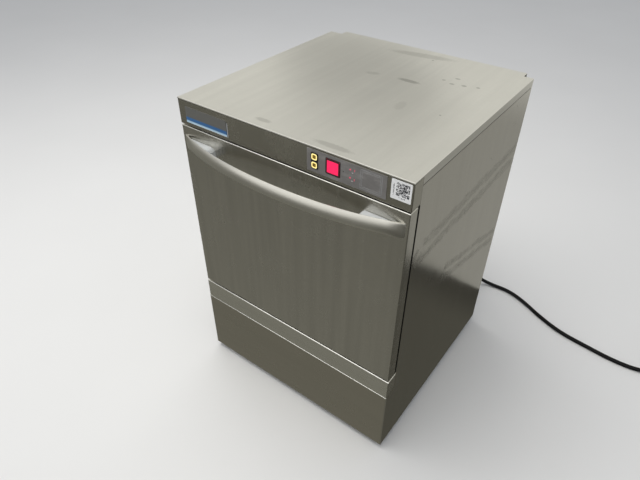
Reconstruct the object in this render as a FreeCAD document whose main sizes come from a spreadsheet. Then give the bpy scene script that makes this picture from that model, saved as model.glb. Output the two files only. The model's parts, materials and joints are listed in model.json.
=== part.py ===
import FreeCAD, Part
import math
import os
import re

import Sketcher

# An undercounter commercial dishwasher with a drop-down front door.
# +X is to the right as the user faces it, -Y is the front, +Z is up, in millimetres.
# The origin is on the floor, under the middle of the machine.

V = FreeCAD.Vector
doc = FreeCAD.newDocument("dishwasher")

# ---------------------------------------------------------------- driving dimensions

SIZES = {
    # cabinet
    "width": 600,
    "total_height": 830,
    "ground_gap": 18,
    "front_reach": 280,
    "side_reach": 308,
    "lid_reach": 332,
    "tail_left": -262,
    "tail_right": 275,
    "rear_flange": 20,
    "sheet": 1.2,
    "liner": 1.5,
    "bend": 2,
    # front, from the floor up
    "kick_top": 219,
    "sill_base": 221,
    "sill_top": 280,
    "door_base": 284.5,
    "door_top": 764,
    "fascia_base": 767,
    "fascia_top": 825.8,
    "lid_flange": 20,
    "door_half": 299,
    "door_rear": 251.6,
    "cabinet_front": 246,
    "door_shadow": 0.75,
    "seal_lip": 4.1,
    "seal_base_lip": 1.2,
    # hinge
    "hinge_reach": 270,
    "hinge_height": 297,
    "pin_radius": 4,
    "running_fit": 0.05,
    # mouth and wash chamber
    "mouth_half": 254,
    "mouth_base": 310,
    "mouth_top": 748,
    "chamber_half": 256,
    "chamber_rear": 262,
    "ceiling_base": 768,
    "tank_rim": 262,
    "tank_floor": 205,
    "sump_floor": 150,
    "rack_height": 318,
    # spray arms
    "arm_centre": 8,
    "post_radius": 12,
    "wash_reach": 235,
    "rinse_reach": 215,
    # wash pump
    "pump_line": -60,
    "pump_height": 112,
    "shaft_radius": 6,
    # handle
    "handle_half": 293,
    "handle_bow": 52,
    "handle_base": 708,
    "handle_top": 740,
    "handle_thick": 7,
    "filler_start": 196,
    # keys
    "key_travel": 1.5,
    "start_across": 128,
    "start_height": 799.7,
    "small_across": 84.5,
    "upper_height": 808.6,
    "lower_height": 790.8,
    "small_key": 16,
    "start_key": 30,
    # feet
    "foot_across": 262,
    "foot_front": -238,
    "foot_rear": 268,
    "foot_radius": 19,
    "stem_radius": 6,
    # services at the rear
    "gland_across": 215,
    "gland_height": 140,
    "inlet_across": -220,
    "inlet_height": 95,
    "inlet_radius": 13.2,
    "drain_across": 268,
    "drain_height": 75,
    "drain_radius": 11,
    # supply cable
    "cable_radius": 6,
    "coil_radius": 66,
}

sheet = doc.addObject("Spreadsheet::Sheet", "Sizes")
for row, (alias, value) in enumerate(SIZES.items(), 1):
    sheet.set(f"A{row}", alias)
    sheet.set(f"B{row}", str(value))
    sheet.setAlias(f"B{row}", alias)
doc.recompute()

PARTS = []


def expression(text):
    """An expression that reads the sheet: every alias in the text gets the sheet's name."""

    def with_sheet(word):
        return "Sizes." + word.group() if word.group() in SIZES else word.group()

    return re.sub(r"[a-z_]+", with_sheet, str(text))


def node(solid, label):
    """Marks a finished sub-part and gives it its name."""
    solid.Label = label
    PARTS.append(solid)
    return solid


# ---------------------------------------------------------------- building blocks

TURNED = {
    "X": FreeCAD.Rotation(V(0, 1, 0), 90),
    "Y": FreeCAD.Rotation(V(1, 0, 0), -90),
    "Z": FreeCAD.Rotation(),
}


def box(low, high):
    """A block between two corners, each given by three numbers or expressions."""
    block = doc.addObject("Part::Box", "block")
    for axis, start, end, side in zip("xyz", low, high, ("Length", "Width", "Height")):
        block.setExpression("Placement.Base." + axis, expression(start))
        block.setExpression(side, expression(f"({end}) - ({start})"))
    return block


def rod(axis, centre, radius, start, end):
    """A round bar along an axis, from start to end; centre gives its other two coordinates."""
    bar = doc.addObject("Part::Cylinder", "bar")
    bar.Placement = FreeCAD.Placement(V(), TURNED[axis])
    places = dict(zip([letter for letter in "XYZ" if letter != axis], centre))
    places[axis] = start
    for letter, value in places.items():
        bar.setExpression("Placement.Base." + letter.lower(), expression(value))
    bar.setExpression("Radius", expression(radius))
    bar.setExpression("Height", expression(f"({end}) - ({start})"))
    return bar


def fuse(*solids):
    """One solid made of several that meet or overlap."""
    joined = doc.addObject("Part::MultiFuse", "joined")
    joined.Shapes = list(solids)
    joined.Refine = True
    return joined


def group(*solids):
    """Separate solids kept together: identical pieces, or the tools of one cut."""
    bundle = doc.addObject("Part::Compound", "bundle")
    bundle.Links = list(solids)
    return bundle


def cut(base, *tools):
    """The base without the tools."""
    rest = doc.addObject("Part::Cut", "rest")
    rest.Base = base
    rest.Tool = tools[0] if len(tools) == 1 else fuse(*tools)
    rest.Refine = True
    return rest


def mirrored(solid):
    """The same piece on the other side of the machine."""
    twin = doc.addObject("Part::Mirroring", "twin")
    twin.Source = solid
    twin.Normal = V(1, 0, 0)
    return twin


def rounded(solid, radius, chosen):
    """The solid with the chosen edges rounded; chosen(edge) picks them by their place."""
    doc.recompute()
    smooth = doc.addObject("Part::Fillet", "smooth")
    smooth.Base = solid
    edges = enumerate(solid.Shape.Edges, 1)
    smooth.Edges = [(number, radius, radius) for number, edge in edges if chosen(edge)]
    return smooth


def outline(body, role, points):
    """A closed sketch on one of the body's own planes; every corner is bound to the sheet."""
    sketch = body.newObject("Sketcher::SketchObject", "outline")
    plane = [feature for feature in body.Origin.OriginFeatures if feature.Role == role][0]
    sketch.AttachmentSupport = [(plane, "")]
    sketch.MapMode = "FlatFace"
    count = len(points)
    # The corners start on a circle, in order, and their constraints then move them into place.
    turns = [2 * math.pi * i / count for i in range(count)]
    corners = [V(100 * math.cos(turn), 100 * math.sin(turn), 0) for turn in turns]
    for i in range(count):
        sketch.addGeometry(Part.LineSegment(corners[i], corners[(i + 1) % count]))
    for i in range(count):
        sketch.addConstraint(Sketcher.Constraint("Coincident", i, 2, (i + 1) % count, 1))
    for i, (across, up) in enumerate(points):
        start = corners[i]
        for kind, value, first in (("DistanceX", across, start.x), ("DistanceY", up, start.y)):
            number = sketch.addConstraint(Sketcher.Constraint(kind, i, 1, first))
            sketch.setExpression(f"Constraints[{number}]", expression(value))
    return sketch


def plate(role, points, start, thickness):
    """A flat plate: an outline padded along the axis that its plane is square to."""
    body = doc.addObject("PartDesign::Body", "plate")
    pad = body.newObject("PartDesign::Pad", "pad")
    pad.Profile = outline(body, role, points)
    pad.setExpression("Length", expression(thickness))
    # Sketches on XZ look along -Y, so their pads are reversed to grow towards +Y.
    pad.Reversed = role == "XZ_Plane"
    body.Tip = pad
    axis = {"YZ_Plane": "x", "XZ_Plane": "y", "XY_Plane": "z"}[role]
    body.setExpression("Placement.Base." + axis, expression(start))
    return body


def turned(points, place, along="Z"):
    """A turned piece: half its profile, as (radius, height) pairs, revolved about its own axis."""
    body = doc.addObject("PartDesign::Body", "turned")
    profile = outline(body, "XZ_Plane", points)
    turn = body.newObject("PartDesign::Revolution", "turn")
    turn.Profile = profile
    turn.ReferenceAxis = (profile, ["V_Axis"])
    turn.Angle = 360
    body.Tip = turn
    body.Placement = FreeCAD.Placement(V(), TURNED[along])
    for axis, value in zip("xyz", place):
        body.setExpression("Placement.Base." + axis, expression(value))
    return body


def bent_path(points, bends):
    """Straight runs joined by tangent arcs; bends gives each inner corner's radius."""
    corners = [V(*point) for point in points]
    edges = []
    last = corners[0]
    for before, corner, after, radius in zip(corners, corners[1:], corners[2:], bends):
        into = (corner - before).normalize()
        out = (after - corner).normalize()
        turn = into.getAngle(out)
        reach = radius * math.tan(turn / 2)
        start = corner - into * reach
        end = corner + out * reach
        towards = (out - into).normalize()
        middle = corner + towards * (radius / math.cos(turn / 2) - radius)
        if (start - last).Length > 0.001:
            edges.append(Part.LineSegment(last, start).toShape())
        edges.append(Part.Arc(start, middle, end).toShape())
        last = end
    edges.append(Part.LineSegment(last, corners[-1]).toShape())
    return Part.Wire(edges)


def pipe(path, radius):
    """A round bar swept along a path of runs and arcs."""
    first = path.Edges[0]
    direction = first.tangentAt(first.FirstParameter)
    circle = Part.Circle(first.valueAt(first.FirstParameter), direction, radius)
    profile = Part.Wire(circle.toShape())
    return path.makePipeShell([profile], True, False)


def made(shape):
    """A document object for a shape that is worked out by this macro."""
    feature = doc.addObject("Part::Feature", "shape")
    feature.Shape = shape
    return feature


def near(value, target):
    return abs(value - target) < 0.01


def straight(edge, axis):
    """Whether an edge is a straight one along the given axis."""
    if edge.Curve.TypeId != "Part::GeomLine":
        return False
    return near(abs(getattr(edge.tangentAt(edge.FirstParameter), axis)), 1)


S = SIZES
HALF = S["width"] / 2
FRONT = -S["front_reach"]


def folded(low, high, inner_low, inner_high, bends):
    """A skin folded from sheet: a rounded block with the space behind it taken out."""
    return cut(rounded(box(low, high), S["bend"], bends), box(inner_low, inner_high))


# ---------------------------------------------------------------- base and feet


def foot_places():
    """The four corners where the feet stand: name, across, depth."""
    for end, depth in (("front", "foot_front"), ("rear", "foot_rear")):
        for hand, across in (("left", "-foot_across"), ("right", "foot_across")):
            yield f"{end}_{hand}", across, depth


def base_frame():
    """A tray on four box rails, with a threaded bush at each corner for the foot's stem."""
    solids = [box(("-290", "-264", 40), ("290", "300", 42))]
    holes = []
    for side in ("-foot_across", "foot_across"):
        solids.append(box((f"{side} - 17", -260, "ground_gap"), (f"{side} + 17", 298, 40)))
        holes.append(box((f"{side} - 15.5", -261, "ground_gap + liner"), (f"{side} + 15.5", 299, 38.5)))
    for start in (-262, 262):
        solids.append(box(("-foot_across", start, "ground_gap"), ("foot_across", start + 30, 40)))
        holes.append(box((-244, start + 1.5, "ground_gap + liner"), (244, start + 28.5, 38.5)))
    hollow = cut(fuse(*solids), group(*holes))
    bushes = [rod("Z", (x, y), 10, "ground_gap", 60) for _, x, y in foot_places()]
    bores = [rod("Z", (x, y), "stem_radius + running_fit", 10, 62) for _, x, y in foot_places()]
    node(cut(fuse(hollow, *bushes), group(*bores)), "base_frame")


def feet():
    """Levelling feet: a round pad, a hexagon-sized collar and a stem in the frame's bush."""
    profile = [
        (0, 0),
        ("foot_radius - 1.5", 0),
        ("foot_radius", 1.5),
        ("foot_radius", 6),
        ("foot_radius - 5", 9),
        (10, 9),
        (10, 15),
        ("stem_radius", 15),
        ("stem_radius", 57),
        ("stem_radius - 1", 58),
        (0, 58),
    ]
    for name, across, depth in foot_places():
        node(turned(profile, (across, depth, 0)), f"foot_{name}")


# ---------------------------------------------------------------- outer skins


def side_panel():
    """One side of the cabinet; its front edge steps back above the sill, beside the door."""
    front, top = "-cabinet_front - door_shadow", "total_height - lid_flange - 1.5"
    skin = plate(
        "YZ_Plane",
        [
            ("-front_reach", "ground_gap"),
            ("side_reach", "ground_gap"),
            ("side_reach", top),
            (front, top),
            (front, "sill_base + 10.5"),
            ("-front_reach", "sill_base - 1.5"),
        ],
        "width/2 - sheet",
        "sheet",
    )
    flange = box(
        ("width/2 - rear_flange", "side_reach - sheet", "ground_gap"),
        ("width/2 - sheet", "side_reach", top),
    )
    return cut(fuse(skin, flange), screw_holes())


SCREW_HEIGHTS = (70, 300, 540, 780)
SCREW_ACROSS = 289


def screw_holes():
    """Clearance holes for the right-hand column of rear panel screws."""
    holes = [rod("Y", (SCREW_ACROSS, z), 2.2, "side_reach - 4", "side_reach + 1") for z in SCREW_HEIGHTS]
    return group(*holes)


def panel_screws():
    """Pan-head screws that hold the rear panel to the side panels' flanges."""
    solids = []
    for side in (-1, 1):
        for height in SCREW_HEIGHTS:
            head = rod("Y", (side * SCREW_ACROSS, height), 4, "side_reach", "side_reach + 2.2")
            shank = rod("Y", (side * SCREW_ACROSS, height), 2, "side_reach - 8", "side_reach + 1")
            solids.append(fuse(head, shank))
    node(group(*solids), "panel_screws")


def rear_panel():
    """A flat sheet behind the side flanges, with vents and the service openings."""
    before, after = "side_reach - 6", "side_reach + 1"
    sheet_metal = box(
        ("-width/2 + 2", "side_reach - 2*sheet", 30),
        ("width/2 - 2", "side_reach - sheet", "total_height - 22"),
    )
    vents = [box((x, before, z), (x + 60, after, z + 5)) for x in (-120, 60) for z in range(240, 330, 15)]
    services = [
        rod("Y", ("gland_across", "gland_height"), 10, before, after),
        rod("Y", ("inlet_across", "inlet_height"), "inlet_radius + 2.5", before, after),
        rod("Y", ("drain_across", "drain_height"), "drain_radius + 2.5", before, after),
    ]
    screws = screw_holes()
    node(cut(sheet_metal, group(*vents), group(*services), screws, mirrored(screws)), "rear_panel")


def top_cover():
    """The lid: a flat top with folded edges, drawn out at the rear between two notches."""
    top = S["total_height"]
    under = "total_height - lid_flange - 1"
    block = box(
        ("-width/2", "-front_reach", "total_height - lid_flange"),
        ("width/2", "side_reach", "total_height"),
    )

    def bends(edge):
        middle = edge.CenterOfMass
        return near(middle.z, top) and (straight(edge, "y") or near(middle.y, FRONT))

    shell = cut(
        rounded(block, 1.6, bends),
        box(
            ("-width/2 + sheet", "-front_reach + sheet", under),
            ("width/2 - sheet", "side_reach - sheet", "total_height - sheet"),
        ),
        box(
            ("-width/2 - 1", "-front_reach - 1", under),
            ("width/2 + 1", "-cabinet_front - door_shadow", "fascia_top + 0.8"),
        ),
        box(
            ("tail_left", "side_reach - 5", under),
            ("tail_right", "side_reach + 1", "total_height - sheet"),
        ),
    )
    tail = box(
        ("tail_left", "side_reach - 1", "total_height - sheet"),
        ("tail_right", "lid_reach", "total_height"),
    )
    lip = box(
        ("tail_left", "lid_reach - sheet", "total_height - 14"),
        ("tail_right", "lid_reach", "total_height"),
    )
    node(fuse(shell, tail, lip), "top_cover")


def control_fascia():
    """The folded strip under the lid's front edge, with the key openings."""

    def bends(edge):
        middle = edge.CenterOfMass
        front = near(middle.y, FRONT)
        lower = near(middle.z, S["fascia_base"])
        return straight(edge, "z") and front or lower and (front or straight(edge, "y"))

    skin = folded(
        ("-width/2", "-front_reach", "fascia_base"),
        ("width/2", "-cabinet_front - 1.2", "fascia_top"),
        ("-width/2 + sheet", "-front_reach + sheet", "fascia_base + sheet"),
        ("width/2 - sheet", "-cabinet_front", "fascia_top + 1"),
        bends,
    )
    node(cut(skin, key_openings()), "control_fascia")


def key_places():
    """The keys: name, across, height and side length."""
    yield "start_key", "start_across", "start_height", "start_key"
    yield "upper_key", "small_across", "upper_height", "small_key"
    yield "lower_key", "small_across", "lower_height", "small_key"


def key_openings():
    """Square openings through the film and the fascia, 0.4 mm clear of each key all round."""
    gaps = []
    for _, across, height, side in key_places():
        gaps.append(
            box(
                (f"{across} - {side}/2 - 0.4", "-front_reach - 2", f"{height} - {side}/2 - 0.4"),
                (f"{across} + {side}/2 + 0.4", "-front_reach + 4", f"{height} + {side}/2 + 0.4"),
            )
        )
    return group(*gaps)


def control_film():
    """The printed polyester film over the control side of the fascia."""
    skin = box((66, "-front_reach - 0.6", 774.5), (246, "-front_reach", 823.5))
    node(cut(skin, key_openings()), "control_film")


def badge_plate():
    """A thin plate with one rounded corner, at the left end of the fascia."""
    skin = box((-278, "-front_reach - 0.8", 776), (-149, "-front_reach", 813.5))

    def corner(edge):
        middle = edge.CenterOfMass
        return straight(edge, "y") and near(middle.x, -149) and near(middle.z, 813.5)

    node(rounded(skin, 8, corner), "badge_plate")


def asset_label():
    """A sticker at the right end of the fascia."""
    skin = box((254.5, "-front_reach - 0.3", 784), (296, "-front_reach", 824.5))
    node(rounded(skin, 2, lambda edge: straight(edge, "y")), "asset_label")


def keys():
    """Square push keys; a wider foot behind the fascia keeps each one in."""
    for name, across, height, side in key_places():
        cap = box(
            (f"{across} - {side}/2", "-front_reach - 1.8", f"{height} - {side}/2"),
            (f"{across} + {side}/2", "-front_reach + 8.2", f"{height} + {side}/2"),
        )
        foot = box(
            (f"{across} - {side}/2 - 2", "-front_reach + 2.6", f"{height} - {side}/2 + 2"),
            (f"{across} + {side}/2 + 2", "-front_reach + 4.6", f"{height} + {side}/2 - 2"),
        )
        node(fuse(rounded(cap, 2.4, lambda edge: straight(edge, "y")), foot), name)


def door_sill_strip():
    """The strip below the door; its sides taper down to the front corner."""
    top = S["sill_top"]

    def bends(edge):
        middle = edge.CenterOfMass
        front = near(middle.y, FRONT)
        return straight(edge, "z") and front or near(middle.z, top) and (front or straight(edge, "y"))

    skin = folded(
        ("-width/2", "-front_reach", "sill_base"),
        ("width/2", "-cabinet_front - 1.2", "sill_top"),
        ("-width/2 + sheet", "-front_reach + sheet", "sill_base + sheet"),
        ("width/2 - sheet", "-cabinet_front + 1", "sill_top - sheet"),
        bends,
    )
    taper = plate(
        "YZ_Plane",
        [
            ("-front_reach - 0.6", "sill_base - 0.2"),
            ("-cabinet_front + 1", "sill_base + 11.6"),
            ("-cabinet_front + 1", "sill_base - 5"),
            ("-front_reach - 0.6", "sill_base - 5"),
        ],
        "-width/2 - 1",
        "width + 2",
    )
    node(cut(skin, taper), "door_sill_strip")


def kick_panel():
    """The lower front panel between the side panels."""
    top = S["kick_top"]

    def bends(edge):
        middle = edge.CenterOfMass
        return near(middle.z, top) and near(middle.y, FRONT)

    skin = folded(
        ("-width/2 + 1.6", "-front_reach", "ground_gap"),
        ("width/2 - 1.6", "-front_reach + 14", "kick_top"),
        ("-width/2 + 2.8", "-front_reach + sheet", "ground_gap + sheet"),
        ("width/2 - 2.8", "-front_reach + 20", "kick_top - sheet"),
        bends,
    )
    node(skin, "kick_panel")


# ---------------------------------------------------------------- front frame, hinges and seal

LUG_START = 270
LUG_END = 274
HINGE_LINE = ("-hinge_reach", "hinge_height")


def front_frame():
    """The plate round the chamber's mouth, with a hinge lug at each lower corner."""
    face = box(
        ("-width/2 + 1.6", "-cabinet_front", "sill_base + 1"),
        ("width/2 - 1.6", "-cabinet_front + liner", 812),
    )
    mouth = box(
        ("-mouth_half", "-cabinet_front - 1", "mouth_base"),
        ("mouth_half", "-cabinet_front + 3", "mouth_top"),
    )
    arm = box(
        (LUG_START, "-hinge_reach", "hinge_height - 7"),
        (LUG_END, "-cabinet_front + 0.5", "hinge_height + 7"),
    )
    boss = rod("X", HINGE_LINE, 7, LUG_START, LUG_END)
    eye = rod("X", HINGE_LINE, "pin_radius", LUG_START - 1, LUG_END + 1)
    lug = cut(fuse(arm, boss), eye)
    node(fuse(cut(face, mouth), lug, mirrored(lug)), "front_frame")


def hinge_pins():
    """A steel pin through each lug, fixed in it; the door's plates turn on its two ends."""
    pin = rod("X", HINGE_LINE, "pin_radius", 238, 286)
    node(group(pin, mirrored(pin)), "hinge_pins")


def door_hinge_plates():
    """Two plates each side, inside the door, that turn on the hinge pins."""
    ears = []
    for start in (262, 278):
        ear = box(
            (start, "-front_reach + sheet", "door_base + sheet"),
            (start + 4, "-door_rear", "hinge_height + 40"),
        )
        bore = rod("X", HINGE_LINE, "pin_radius + running_fit", start - 1, start + 5)
        ears.append(cut(ear, bore))
    node(group(*ears, *[mirrored(ear) for ear in ears]), "door_hinge_plates")


def hinge_springs():
    """Torsion springs round the pins, which carry the door as it drops."""
    coil = group(*[ring_on_pin(241.6 + 3.2 * i, 6.4, 1.4) for i in range(6)])
    node(group(coil, mirrored(coil)), "hinge_springs")


def ring_on_pin(across, radius, thickness):
    """A closed round ring about the hinge's axis."""
    place = (across, *HINGE_LINE)
    ring = doc.addObject("Part::Torus", "ring")
    ring.Placement = FreeCAD.Placement(V(), TURNED["X"])
    for letter, value in zip("xyz", place):
        ring.setExpression("Placement.Base." + letter, expression(value))
    ring.setExpression("Radius1", expression(radius))
    ring.setExpression("Radius2", expression(thickness))
    return ring


def door_seal():
    """The rubber lip between the front frame and the door's inner panel: a full lip round the
    top and sides, and a thin one along the base, which the door's lower edge swings past."""
    breadth, inside = 12, 2
    outer = box(
        (f"-mouth_half - {breadth}", "-cabinet_front - seal_lip", "mouth_base - 10"),
        (f"mouth_half + {breadth}", "-cabinet_front", f"mouth_top + {breadth}"),
    )
    inner = box(
        (f"-mouth_half - {inside}", "-cabinet_front - 5", "mouth_base - 1"),
        (f"mouth_half + {inside}", "-cabinet_front + 1", f"mouth_top + {inside}"),
    )
    swing = box(
        ("-door_half", "-cabinet_front - 5", "mouth_base - 11"),
        ("door_half", "-cabinet_front - seal_base_lip", "mouth_base - 0.5"),
    )
    node(cut(rounded(outer, 10, lambda edge: straight(edge, "y")), inner, swing), "door_seal")


# ---------------------------------------------------------------- door


def hinge_slots():
    """The gaps in the door through which the lugs reach the pins, closed or open."""
    slot = box(
        (LUG_START - 1.5, "-front_reach + 2.2", "door_base - 1"),
        (LUG_END + 1.5, "-door_rear + 4", "hinge_height + 9"),
    )
    return slot, mirrored(slot)


def door_outer_panel():
    """The door's stainless front, folded back on all four sides."""
    block = box(("-door_half", "-front_reach", "door_base"), ("door_half", "-door_rear", "door_top"))

    def bends(edge):
        return near(edge.CenterOfMass.y, FRONT) or straight(edge, "y")

    shell = cut(
        rounded(block, S["bend"], bends),
        box(
            ("-door_half + sheet", "-front_reach + sheet", "door_base + sheet"),
            ("door_half - sheet", "-door_rear + 1", "door_top - sheet"),
        ),
        *hinge_slots(),
    )
    node(shell, "door_outer_panel")


def door_inner_panel():
    """The door's wet side: a flat sheet with a raised pan that stands in the mouth."""
    depth = 9
    sheet_metal = box(
        ("-door_half + 3", "-door_rear", "door_base + 3"),
        ("door_half - 3", "-door_rear + sheet", "door_top - 3"),
    )
    pan = box(
        ("-mouth_half + 12", "-door_rear", "mouth_base + 12"),
        ("mouth_half - 12", f"-door_rear + {depth}", "mouth_top - 12"),
    )
    hollow = box(
        ("-mouth_half + 13.5", "-door_rear - 1", "mouth_base + 13.5"),
        ("mouth_half - 13.5", f"-door_rear + {depth} - sheet", "mouth_top - 13.5"),
    )

    def bends(edge):
        return straight(edge, "y") or near(edge.CenterOfMass.y, -S["door_rear"] + depth)

    node(cut(fuse(sheet_metal, rounded(pan, 3, bends)), hollow, *hinge_slots()), "door_inner_panel")


BOW_POWER = 0.8


def bow_line(inset=0.0, margin=0.0, steps=12):
    """The handle's bow in plan: a spline from end to end that is fullest in the middle.
    Inset moves it towards the door, and margin draws its ends in."""
    depth, half = S["handle_bow"] - inset, S["handle_half"] - margin
    points = []
    for i in range(steps + 1):
        across = -half + 2 * half * i / steps
        reach = depth * max(0, 1 - (across / half) ** 2) ** BOW_POWER
        points.append(V(across, FRONT - reach, 0))
    spline = Part.BSplineCurve()
    spline.interpolate(points)
    return spline.toShape()


def handle_bow():
    """A broad bowed bar across the door, rounded on its front, whose ends meet the door."""
    thick = S["handle_thick"]
    outer = bow_line()
    inner = bow_line(thick, 1.6 * thick)
    between = (outer.CenterOfMass.y + inner.CenterOfMass.y) / 2
    ends = [Part.makeLine(outer.Vertexes[k].Point, inner.Vertexes[k].Point) for k in (0, -1)]
    face = Part.Face(Part.Wire([outer, ends[1], inner, ends[0]]))
    face.translate(V(0, 0, S["handle_base"]))
    bar = face.extrude(V(0, 0, S["handle_top"] - S["handle_base"]))
    front = [edge for edge in bar.Edges if edge.Length > 1.5 * HALF and edge.CenterOfMass.y < between]
    node(made(bar.makeFillet(5.5, front)), "handle_bow")


def handle_fillers():
    """Plastic wedges that close the space behind each end of the handle."""
    thick, gap = S["handle_thick"], 3
    inside = bow_line(thick + 0.2, 1.6 * thick + 0.6)
    ends = [vertex.Point for vertex in inside.Vertexes]
    space = Part.Face(Part.Wire([inside, Part.makeLine(ends[0], ends[-1])]))
    space.translate(V(0, 0, S["handle_base"] + gap))
    wedge = space.extrude(V(0, 0, S["handle_top"] - S["handle_base"] - 2 * gap))
    beyond = Part.makeBox(110, 80, 60, V(S["filler_start"], FRONT - 80, S["handle_base"] - 10))
    right = wedge.common(beyond)
    node(group(made(right), mirrored(made(right))), "handle_fillers")


# ---------------------------------------------------------------- wash chamber


def chamber_walls():
    """The two side walls, the rear wall and the ceiling."""
    side = box(
        ("chamber_half", "-cabinet_front + liner", "tank_rim"),
        ("chamber_half + liner", "chamber_rear", "ceiling_base"),
    )
    node(side, "chamber_wall_right")
    node(mirrored(side), "chamber_wall_left")
    node(
        box(
            ("-chamber_half - liner", "chamber_rear", "tank_rim"),
            ("chamber_half + liner", "chamber_rear + liner", "ceiling_base"),
        ),
        "chamber_wall_rear",
    )
    ceiling = box(
        ("-chamber_half - liner", "-cabinet_front + liner", "ceiling_base"),
        ("chamber_half + liner", "chamber_rear + liner", "ceiling_base + liner"),
    )
    hole = rod("Z", (0, "arm_centre"), "post_radius + 0.2", "ceiling_base - 2", "ceiling_base + 4")
    node(cut(ceiling, hole), "chamber_ceiling")


def hopper(inset, drop):
    """A four-sided hopper that narrows from the tank's rim towards its floor."""
    wedge = doc.addObject("Part::Wedge", "hopper")
    wedge.Placement = FreeCAD.Placement(V(), FreeCAD.Rotation(V(1, 0, 0), -90))
    wedge.setExpression("Placement.Base.z", expression("tank_rim"))
    bounds = {
        "Xmin": f"-chamber_half - liner + {inset}",
        "Xmax": f"chamber_half + liner - {inset}",
        "Zmin": f"-cabinet_front + liner + {inset}",
        "Zmax": f"chamber_rear + liner - {inset}",
        "X2min": f"-180 + {inset}",
        "X2max": f"180 - {inset}",
        "Z2min": f"-172 + {inset}",
        "Z2max": f"188 - {inset}",
        "Ymin": "0",
        "Ymax": f"tank_rim - tank_floor - {drop}",
    }
    for name, value in bounds.items():
        wedge.setExpression(name, expression(value))
    return wedge


SUMP = (110, "pump_line")


def tank_basin():
    """The tank: a shallow hopper with a round sump, and holes for the post and the pumps."""
    outside = fuse(hopper(0, 0), rod("Z", SUMP, 61.5, "sump_floor", "tank_floor + 1"))
    inside = fuse(hopper("liner", "liner"), rod("Z", SUMP, 60, "sump_floor + liner", "tank_rim - 20"))
    holes = group(
        rod("Z", (0, "arm_centre"), "post_radius + 0.2", "tank_floor - 5", "tank_floor + 5"),
        rod("Z", SUMP, 16, "sump_floor - 1", "sump_floor + 3"),
        rod("Z", (143, -88), 8, "sump_floor - 1", "sump_floor + 3"),
    )
    node(cut(outside, inside, holes), "tank_basin")


def rack_rails():
    """Angle rails that the dish rack slides in on."""
    rail = plate(
        "XZ_Plane",
        [
            ("chamber_half - 30", "rack_height - 1.5"),
            ("chamber_half - 1.5", "rack_height - 1.5"),
            ("chamber_half - 1.5", "rack_height - 18"),
            ("chamber_half", "rack_height - 18"),
            ("chamber_half", "rack_height + 14"),
            ("chamber_half - 1.5", "rack_height + 14"),
            ("chamber_half - 1.5", "rack_height"),
            ("chamber_half - 30", "rack_height"),
        ],
        -236,
        490,
    )
    node(rail, "rack_rail_right")
    node(mirrored(rail), "rack_rail_left")


def strainer():
    """The slotted sheet over the tank, and the filter basket that hangs in it over the sump."""
    skin = box((-236, -226, 252), (236, 244, 253.5))
    openings = [rod("Z", (0, "arm_centre"), 20, 250, 256), rod("Z", SUMP, 50, 250, 256)]
    for row in range(6):
        for column in range(12):
            x = -216 + 37 * column
            y = -205 + 76 * row
            clear_of_post = math.hypot(x + 2, y + 20 - S["arm_centre"]) > 52
            clear_of_filter = math.hypot(x + 2 - SUMP[0], y + 20 - S["pump_line"]) > 84
            if clear_of_post and clear_of_filter:
                openings.append(box((x, y, 250), (x + 5, y + 44, 256)))
    node(cut(skin, group(*openings)), "basin_strainer")
    basket = turned(
        [
            (0, 158),
            (46, 158),
            (46, 253.7),
            (55, 253.7),
            (55, 256),
            (44, 256),
            (44, 160),
            (0, 160),
        ],
        (SUMP[0], SUMP[1], 0),
    )
    windows = []
    for level in (168, 190, 212):
        for across, along in ((60, 12), (12, 60)):
            low = (SUMP[0] - across, f"pump_line - {along}", level)
            high = (SUMP[0] + across, f"pump_line + {along}", level + 14)
            windows.append(box(low, high))
    node(cut(basket, group(*windows)), "filter_cylinder")


def tank_heater():
    """A hairpin tube element on the tank's floor."""
    floor = S["tank_floor"] + S["liner"]
    points = [
        (-160, 140, floor),
        (-160, 140, floor + 22),
        (-160, -140, floor + 22),
        (-95, -140, floor + 22),
        (-95, 140, floor + 22),
        (-95, 140, floor),
    ]
    node(made(pipe(bent_path(points, [14, 25, 25, 14]), 5)), "tank_heater")


# ---------------------------------------------------------------- spray arms


def spray_arm(reach, breadth, hub, hub_low, hub_high, low, high, angle, name, upwards):
    """A hollow arm with a hub bored to run on the post, and a row of jets along each half."""
    wide = breadth / 2
    ends = [rod("Z", (side * (reach - wide), 0), wide, low, high) for side in (-1, 1)]
    hub_solid = rod("Z", (0, 0), hub, hub_low, hub_high)
    bar = fuse(box((wide - reach, -wide, low), (reach - wide, wide, high)), *ends, hub_solid)
    duct = box((wide - reach, 2 - wide, low + 1.2), (reach - wide, wide - 2, high - 1.2))
    core = rod("Z", (0, 0), hub - 4, hub_low - 1, hub_high + 1)
    duct_halves = cut(duct, core)
    jet_low, jet_high = (high - 2, high + 1) if upwards else (low - 1, low + 2)
    jets = []
    for i in range(5):
        for side in (-1, 1):
            place = side * (hub + 24 + i * (reach - hub - 50) / 4)
            jets.append(box((place - 2, -7 + i, jet_low), (place + 2, 5 + i, jet_high)))
    bore = rod("Z", (0, 0), "post_radius + running_fit", hub_low - 1, hub_high + 1)
    arm = cut(bar, duct_halves, bore, group(*jets))
    arm.Placement = FreeCAD.Placement(V(), FreeCAD.Rotation(V(0, 0, 1), angle))
    arm.setExpression("Placement.Base.y", expression("arm_centre"))
    node(arm, name)


def spray_arms():
    """A wash arm and a rinse arm below the rack, and the same above it."""
    wash, rinse = S["wash_reach"], S["rinse_reach"]
    spray_arm(wash, 40, 28, 267, 290, 270, 284, 20, "lower_wash_arm", True)
    spray_arm(rinse, 22, 20, 291, 305, 293, 303, 68, "lower_rinse_arm", True)
    spray_arm(rinse, 22, 20, 718, 732, 720, 730, -35, "upper_rinse_arm", False)
    spray_arm(wash, 40, 28, 733, 756, 738, 752, 12, "upper_wash_arm", False)


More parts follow.
